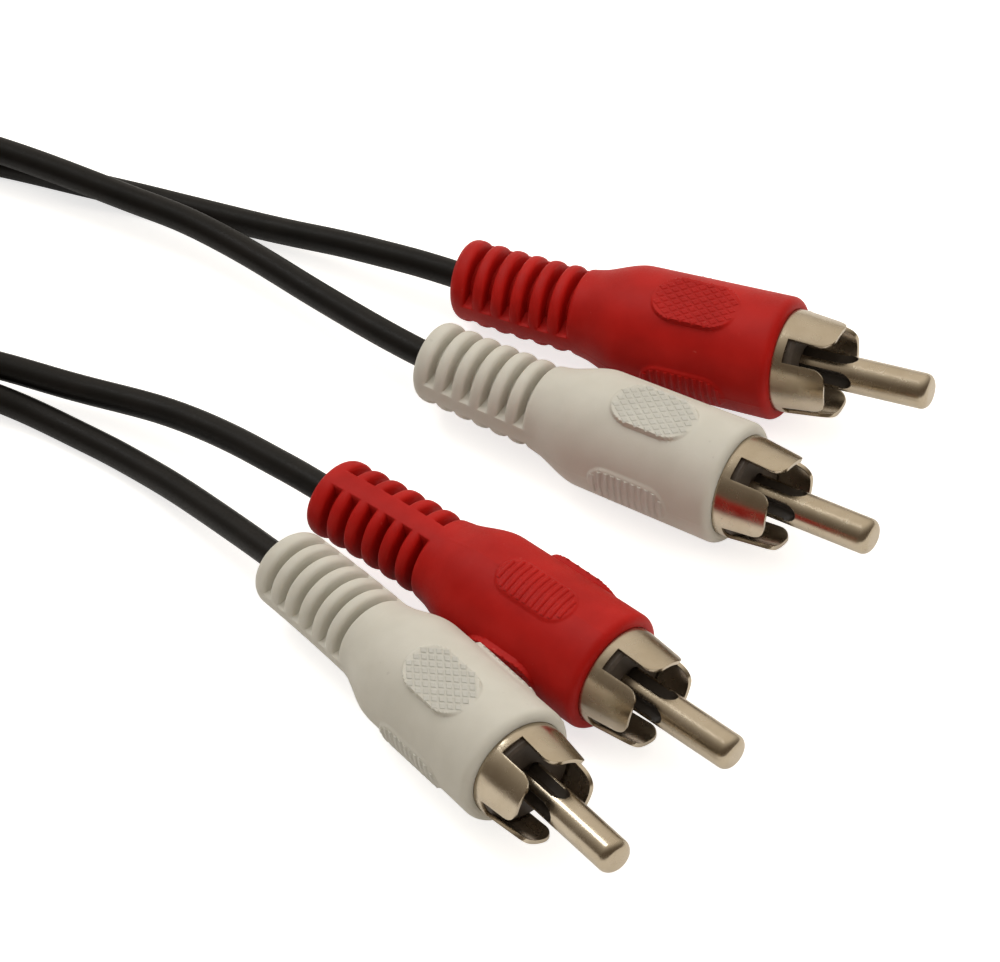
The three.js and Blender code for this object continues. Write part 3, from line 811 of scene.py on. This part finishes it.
# %% Grip studs
GRIP_SINK = 0.05 * MM  # by which a stud reaches into the pad
STUD_BASE = 0.48  # half a stud's base, as a share of the pitch
STUD_TOP = 0.6  # its top, as a share of the base
CROSSHATCH_ROWS = 7


def stud_object(name, points, faces):
    """An object that isn't in the scene, for a tree to copy."""
    return bpy.data.objects.new(name, new_mesh(name, points, faces))


def diamond_stud():
    """A low pyramid on a diamond base, as a crosshatch leaves."""
    long, wide = STUD_LONG * STUD_BASE, STUD_WIDE * STUD_BASE
    points = [(long, 0, -GRIP_SINK), (0, wide, -GRIP_SINK), (-long, 0, -GRIP_SINK), (0, -wide, -GRIP_SINK)]
    points += [(x * STUD_TOP, y * STUD_TOP, CROSSHATCH_DEPTH) for x, y, z in points]
    sides = [(k, (k + 1) % 4, (k + 1) % 4 + 4, k + 4) for k in range(4)]
    return stud_object("diamond_stud", points, [(3, 2, 1, 0), (4, 5, 6, 7), *sides])


def rib_stud():
    """A bar across the pad, rounded on top and cut in lengths so that it can bend."""
    lengths = 12
    half = RIBBED_PAD_WIDTH / 2 - GRIP_MARGIN
    section = [(-0.22, -1), (-0.19, 0.3), (-0.1, 0.9), (0, 1), (0.1, 0.9), (0.19, 0.3), (0.22, -1)]
    points = []
    for k in range(lengths + 1):
        y = half * (2 * k / lengths - 1)
        points += [(x * MM, y, RIB_DEPTH * z if z > 0 else -GRIP_SINK) for x, z in section]
    size = len(section)
    faces = skin_faces(lengths + 1, size)
    faces += [tuple(range(size)), tuple(range(len(points) - 1, len(points) - size - 1, -1))]
    return stud_object("rib_stud", points, faces)


def grip_mesh(name, flat_pad, stud, pitch_along, pitch_across, rows, finish):
    """Runs the tree on an empty mesh and keeps what it makes as a plain mesh."""
    tree = grip_tree(name, flat_pad)
    width = FLAT_PAD_WIDTH if flat_pad else RIBBED_PAD_WIDTH
    surface = FLAT_PAD_HEIGHT - CROSSHATCH_DEPTH if flat_pad else RIBBED_PAD_RADIUS - RIB_DEPTH
    carrier = in_scene(name, bpy.data.meshes.new(name))
    modifier = carrier.modifiers.new("grip", "NODES")
    modifier.node_group = tree
    values = {
        "Pitch along": pitch_along, "Pitch across": pitch_across, "Rows": rows,
        "Straight half": (PAD_LENGTH - width) / 2, "End radius": width / 2 - GRIP_MARGIN,
        "Surface": surface, "Stud": stud, "Finish": finish,
    }
    for item in tree.interface.items_tree:
        if item.item_type == "SOCKET" and item.in_out == "INPUT":
            modifier[item.identifier] = values[item.name]
    evaluated = carrier.evaluated_get(bpy.context.evaluated_depsgraph_get())
    mesh = bpy.data.meshes.new_from_object(evaluated)
    bpy.data.objects.remove(carrier)
    merge(mesh)
    return mesh


def joined(name, meshes):
    """One mesh of several."""
    work = bmesh.new()
    for mesh in meshes:
        work.from_mesh(mesh)
    result = bpy.data.meshes.new(name)
    work.to_mesh(result)
    work.free()
    return result


def on_pads(mesh, quarter_turns):
    """Copies of a pattern on the pads at these quarter turns, set at the pads' middle."""
    middle = Matrix.Translation((PAD_FRONT - PAD_LENGTH / 2, 0, 0))
    copies = []
    for quarter in quarter_turns:
        copy = mesh.copy()
        copy.transform(Matrix.Rotation(quarter * math.pi / 2, 4, "X") @ middle)
        copies.append(copy)
    return copies


for colour, (material, slot) in FINISH_OF.items():
    crosshatch = grip_mesh(
        "crosshatch_grip", True, diamond_stud(), STUD_LONG, STUD_WIDE, CROSSHATCH_ROWS, material
    )
    ribs = grip_mesh("ribbed_grip", False, rib_stud(), RIB_PITCH, STUD_WIDE, 1, material)
    print(colour, "grip faces:", len(crosshatch.polygons), len(ribs.polygons))
    for name, plug in PLUGS.items():
        if plug["colour"] != colour:
            continue
        pattern = joined("grip", on_pads(crosshatch, (0, 2)) + on_pads(ribs, (1, 3)))
        finished(f"{name}_grip_pattern", pattern, material, (), plug_place(name, plug["boot"]), 30)

# %% [markdown]
# ## The ground shell
#
# The shell is a stamped sheet: a ring with four petals that spring against the socket. A sheet is best
# made as one thin surface, its outer skin, which Solidify then gives its thickness and Bevel its softened
# edges. The petals' round corners come from narrowing each row of points towards the end.

# %% Shell
SHELL_RADIUS = 4.55 * MM
SHELL_TIP_RADIUS = 4.15 * MM
SHELL_SHEET = 0.35 * MM
SHELL_TIP = 4.9 * MM
SHELL_BACK = -6 * MM
SHELL_SLOT = 2.2 * MM
SLOT_ROOT = 0.9 * MM
PETAL_ROUNDING = 1.3 * MM
PETAL_COLUMNS = 22
SLOT_COLUMNS = 8
EDGE_SOFTNESS = 0.06 * MM


def petal_width(station):
    """The shell's radius at a station, and how far a petal's rounded corners narrow it there."""
    taper = max(station - SLOT_ROOT, 0) / (SHELL_TIP - SLOT_ROOT)
    past = max((station - (SHELL_TIP - PETAL_ROUNDING)) / PETAL_ROUNDING, 0)
    narrowing = PETAL_ROUNDING * (1 - math.sqrt(max(1 - past * past, 0)))
    return SHELL_RADIUS + (SHELL_TIP_RADIUS - SHELL_RADIUS) * taper, narrowing


def shell_row(station):
    """One row of points round the shell: each quarter has a petal's columns and then a slot's."""
    radius, narrowing = petal_width(station)
    slot_half = math.asin(SHELL_SLOT / 2 / SHELL_RADIUS)
    petal_half = math.pi / 4 - slot_half
    half = petal_half - narrowing / radius
    angles = [-half + 2 * half * k / PETAL_COLUMNS for k in range(PETAL_COLUMNS + 1)]
    angles += [petal_half + 2 * slot_half * k / SLOT_COLUMNS for k in range(1, SLOT_COLUMNS)]
    row = []
    for quarter in range(4):
        for angle in angles:
            turn = math.pi / 4 + quarter * math.pi / 2 + angle
            row.append((station, radius * math.sin(turn), radius * math.cos(turn)))
    return row


def shell_mesh():
    """The outer skin of the ring and its petals."""
    steps = 6
    ring_rows = [SHELL_BACK, SHELL_BACK + 0.3 * MM, -3 * MM, 0.0]
    straight = SHELL_TIP - PETAL_ROUNDING - SLOT_ROOT
    rows = ring_rows + [SLOT_ROOT + k / steps * straight for k in range(steps + 1)]
    turns = [k / steps * math.pi / 2 for k in range(1, steps + 1)]
    rows += [SHELL_TIP - PETAL_ROUNDING * (1 - math.sin(turn)) for turn in turns]
    points = [point for station in rows for point in shell_row(station)]
    per_quarter = PETAL_COLUMNS + SLOT_COLUMNS
    around = 4 * per_quarter
    faces = [
        face for k, face in enumerate(skin_faces(len(rows), around))
        if k < len(ring_rows) * around or k % per_quarter < PETAL_COLUMNS
    ]
    used = {point: k for k, point in enumerate(sorted({point for face in faces for point in face}))}
    faces = [[used[point] for point in face] for face in faces]
    return new_mesh("shell", [points[point] for point in used], faces)


def thickened(mesh, thickness, bevel):
    """The mesh as a sheet of this thickness, inwards, with its edges softened."""
    sheet = in_scene("sheet", mesh)
    solid = sheet.modifiers.new("thickness", "SOLIDIFY")
    solid.thickness = thickness
    solid.offset = -1
    solid.use_even_offset = True
    soft = sheet.modifiers.new("edges", "BEVEL")
    soft.width = bevel
    soft.segments = 2
    soft.limit_method = "ANGLE"
    soft.angle_limit = math.radians(50)
    result = bpy.data.meshes.new_from_object(sheet.evaluated_get(bpy.context.evaluated_depsgraph_get()))
    bpy.data.objects.remove(sheet)
    return result


SHELL = thickened(shell_mesh(), SHELL_SHEET, EDGE_SOFTNESS)
print("shell faces:", len(SHELL.polygons))
for name, plug in PLUGS.items():
    place = plug_place(name, plug["shell"])
    finished(f"{name}_ground_shell", SHELL.copy(), NICKEL, [f"{name}_shell"], place, 40)

# %% [markdown]
# ## The centre pin and its insulator
#
# The pin is a hollow-looking contact: four flutes are pressed into its root, which leave crossed ribs,
# and its end is rounded. It is lifted from a grid as the boot is. The insulator is a plain turned disc.

# %% Pin and insulator
PIN_RADIUS = 1.5875 * MM
PIN_ROUNDING = 0.75 * MM
PIN_TAIL_RADIUS = 0.9 * MM
PIN_SHOULDER = -5.1 * MM
PIN_BACK = -7.9 * MM
FLUTE_START = 1.2 * MM
FLUTE_END = 6.4 * MM
FLUTE_RUN_OUT = 1.5 * MM
FLUTE_WALL = 0.25 * MM  # how far along the pin its end wall reaches
PIN_CORE = 0.72 * MM  # radius of what is left between the flutes
PIN_RIB = 0.85 * MM
PIN_COLUMNS = 128
POLE = 1e-6  # radius of the skin's closed ends, before its points are joined
INSULATOR_FRONT = 1.5 * MM
INSULATOR_BACK = -4.8 * MM
INSULATOR_RADIUS = 4.19 * MM
INSULATOR_BORE = 1.62 * MM
INSULATOR_CHAMFER = 0.24 * MM


def pin_stations():
    """Rows along the pin, close together at the flutes' ends and the rounded tip."""
    turns = np.linspace(0, math.pi / 2, 9)
    return np.concatenate([
        [PIN_SHOULDER, FLUTE_START - 0.05 * MM, FLUTE_START],
        np.linspace(FLUTE_START + 0.3 * MM, 3.4 * MM, 8),
        np.linspace(3.5 * MM, FLUTE_END + 0.1 * MM, 46),
        np.linspace(7.2 * MM, PIN_TIP - PIN_ROUNDING - 0.2 * MM, 8),
        PIN_TIP - PIN_ROUNDING * (1 - np.sin(turns)),
    ])


def flute_floor(angles):
    """The radius of the bottom of the flutes: two crossed ribs, thickened at the middle to a core."""
    sharpest = np.maximum(np.abs(np.sin(angles)), np.abs(np.cos(angles)))
    off_axis = np.sqrt(np.maximum(1 - sharpest**2, 1e-8))
    return np.maximum(np.minimum(PIN_RADIUS, PIN_RIB / 2 / off_axis), PIN_CORE)


def flute_depth(stations, angles):
    """How much of the flutes' depth there is at each place, 0 to 1, with rounded ends towards the tip."""
    rib_edge = math.asin(PIN_RIB / 2 / PIN_RADIUS)
    side = np.abs((angles % (math.pi / 2)) - math.pi / 4) / (math.pi / 4 - rib_edge)
    end = FLUTE_END - FLUTE_RUN_OUT * (1 - np.sqrt(np.clip(1 - side**2, 0, 1)))
    depth = np.clip((end - stations) / FLUTE_WALL, 0, 1)
    return np.sqrt(1 - (1 - depth) ** 2) * (stations >= FLUTE_START)


def pin_mesh():
    """The pin and its wire tail as one closed skin."""
    angles = np.linspace(0, 2 * math.pi, PIN_COLUMNS, endpoint=False)
    stations = pin_stations()
    rounding = np.clip((stations - (PIN_TIP - PIN_ROUNDING)) / PIN_ROUNDING, 0, 1)
    plain = (PIN_RADIUS - PIN_ROUNDING * (1 - np.sqrt(1 - rounding**2)))[:, None]
    cut = np.maximum(plain - flute_floor(angles)[None, :], 0)
    radii = plain - flute_depth(stations[:, None], angles[None, :]) * cut
    row = np.ones((1, PIN_COLUMNS))
    tail = [row * POLE, row * PIN_TAIL_RADIUS, row * PIN_TAIL_RADIUS]
    stations = np.concatenate([[PIN_BACK, PIN_BACK, PIN_SHOULDER], stations, [PIN_TIP]])
    mesh = grid_mesh("pin", stations, angles, np.concatenate([*tail, radii, row * POLE]))
    merge(mesh, 0.004 * MM)
    return mesh


def insulator_mesh():
    """A disc that fills the shell's ring and hugs the pin, with a small chamfer on its face."""
    outline = [
        (INSULATOR_BACK, INSULATOR_BORE), (INSULATOR_BACK, INSULATOR_RADIUS),
        (INSULATOR_FRONT - INSULATOR_CHAMFER, INSULATOR_RADIUS),
        (INSULATOR_FRONT, INSULATOR_RADIUS - INSULATOR_CHAMFER), (INSULATOR_FRONT, INSULATOR_BORE),
    ]
    return lathe_mesh("insulator", outline)


PIN = pin_mesh()
INSULATOR = insulator_mesh()
print("pin and insulator faces:", len(PIN.polygons), len(INSULATOR.polygons))


def in_flute(face):
    """Whether a face of the pin lies in one of its flutes."""
    middle = face.center
    within = FLUTE_START - 0.1 * MM < middle.x < FLUTE_END
    return within and math.hypot(middle.y, middle.z) < PIN_RADIUS - 0.09 * MM


# The faces in the flutes take the second finish, which is painted shade and not a colour of the metal.
shaded_flute_faces = [face.index for face in PIN.polygons if in_flute(face)]
for name, plug in PLUGS.items():
    place = plug_place(name, plug["pin"])
    pin = finished(f"{name}_centre_pin", PIN.copy(), NICKEL, [f"{name}_pin"], place, 40)
    pin.data.materials.append(FLUTE_SHADE)
    for face in shaded_flute_faces:
        pin.data.polygons[face].material_index = 1
    disc, nodes = INSULATOR.copy(), [f"{name}_insulator"]
    finished(f"{name}_insulating_disc", disc, BLACK, nodes, plug_place(name))

# %% [markdown]
# ## The tie round the coil
#
# A flat black strap keeps the spare turns together. It is a rounded loop swept with a flat section, so a
# grid does it: one row of section points for each step round the loop.

# %% Tie
TIE_THICKNESS = 0.5 * MM
TIE_WIDTH = 4 * MM
TIE_CORNER = 1.6 * MM
TIE_EDGE = 0.12 * MM  # chamfer of the strap's edges
CORNER_STEPS = 6


def tie_loop(half_x, half_z):
    """Steps round the strap's outside: the middle of the corner and the direction out of it."""
    loop = []
    for sign_x, sign_z, start in ((1, 1, 0), (-1, 1, 90), (-1, -1, 180), (1, -1, 270)):
        for k in range(CORNER_STEPS + 1):
            turn = math.radians(start + 90 * k / CORNER_STEPS)
            corner = Vector((sign_x * (half_x - TIE_CORNER), 0, sign_z * (half_z - TIE_CORNER)))
            loop.append((corner, Vector((math.cos(turn), 0, math.sin(turn)))))
    return loop


def tie_mesh():
    """The strap: its flat section swept round the loop that the CAD model's box gives."""
    low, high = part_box("tie")
    centre, half = (low + high) / 2, (high - low) / 2
    inner, side = -TIE_THICKNESS, TIE_WIDTH / 2
    section = [
        (0, TIE_EDGE - side), (0, side - TIE_EDGE), (-TIE_EDGE, side), (inner + TIE_EDGE, side),
        (inner, side - TIE_EDGE), (inner, TIE_EDGE - side), (inner + TIE_EDGE, -side), (-TIE_EDGE, -side),
    ]
    loop = tie_loop(half.x, half.z)
    points = [
        centre + corner + out * (TIE_CORNER + inward) + Vector((0, y, 0))
        for corner, out in loop for inward, y in section
    ]
    mesh = new_mesh("tie", points, skin_faces(len(loop), len(section), closed=True))
    merge(mesh)
    return mesh


finished("coil_strap", tie_mesh(), BLACK, ["tie"], None, 30)

# %% [markdown]
# ## Floor and light
#
# The cable lies on a pale sheet. The lamps and the world stay at a level that shows each colour as it
# is, and Light Path lifts the sheet to white where the camera or the metal sees it, so that the background
# is white and the shadow is faint. The world is paler beyond the cable than behind the camera, which gives
# the round metal its soft bands. Two lamps are left out of reflections, which would show them as blots.

# %% Floor, lamps and world
FLOOR_SEEN = 0.72  # light added to the floor where the camera looks at it
FLOOR_MIRRORED = 0.25  # and where metal mirrors it
FLOOR_HALF = 3.0
PALE_SIDE = (0, 0.7, 0.71)  # the direction that the world is palest in: beyond the cable, and up
DIM, HAZE, PALE, BRIGHT = (0.15, 0.12, 0.09), (0.25, 0.215, 0.175), (0.47, 0.425, 0.36), (0.90, 0.83, 0.72)


def add_floor():
    """A pale sheet. Seen directly or mirrored, it is lifted to white, and keeps the cable's shadow."""
    corners = [(x * FLOOR_HALF, y * FLOOR_HALF, 0) for x, y in ((-1, -1), (1, -1), (1, 1), (-1, 1))]
    floor = in_scene("floor", new_mesh("floor", corners, [(0, 1, 2, 3)]))
    material, tree, shader = new_material("white sheet")
    rays = tree.nodes.new("ShaderNodeLightPath").outputs
    seen = math_node(tree, "MULTIPLY", rays["Is Camera Ray"], FLOOR_SEEN)
    mirrored = math_node(tree, "ADD", rays["Is Glossy Ray"], rays["Is Transmission Ray"])
    mirrored = math_node(tree, "MULTIPLY", mirrored, FLOOR_MIRRORED)
    feed(tree, shader, {
        "Base Color": (0.8, 0.79, 0.77, 1), "Roughness": 1.0, "Specular IOR Level": 0.0,
        "Emission Color": (1, 1, 1, 1), "Emission Strength": math_node(tree, "ADD", seen, mirrored),
    })
    floor.data.materials.append(material)


def add_lamp(name, place, size, power, colour, mirrored):
    """A rectangular lamp that looks at the cable, seen in metal or not."""
    data = bpy.data.lights.new(name, "AREA")
    data.shape = "RECTANGLE"
    data.size, data.size_y = size
    data.energy = power
    data.color = colour
    lamp = in_scene(name, data)
    lamp.location = place
    lamp.rotation_euler = (-Vector(place)).to_track_quat("-Z", "Y").to_euler()
    lamp.visible_glossy = mirrored


def set_world():
    """A dim, brownish room, darker behind the camera and paler above and beyond the cable."""
    world = bpy.data.worlds.new("soft studio")
    world.use_nodes = True
    tree = world.node_tree
    towards = tree.nodes.new("ShaderNodeTexCoord").outputs["Generated"]
    along = made(tree, "ShaderNodeVectorMath", {0: towards, 1: PALE_SIDE})
    along.operation = "DOT_PRODUCT"
    stops = [(0.0, DIM), (0.3, HAZE), (0.6, PALE), (0.95, BRIGHT)]
    feed(tree, tree.nodes["Background"], {"Color": ramp(tree, along.outputs["Value"], stops)})
    bpy.context.scene.world = world


add_floor()
add_lamp("ceiling", (-0.25, 0.1, 1.1), (1.4, 1.2), 4.6, (1.0, 0.98, 0.94), mirrored=False)
add_lamp("right", (0.45, -0.2, 0.35), (0.4, 0.4), 1.0, (1.0, 0.97, 0.92), mirrored=False)
add_lamp("window", (-0.55, 0.45, 0.95), (0.22, 0.3), 1.6, (0.95, 0.98, 1.0), mirrored=True)
set_world()
bpy.context.scene.view_settings.view_transform = "Standard"
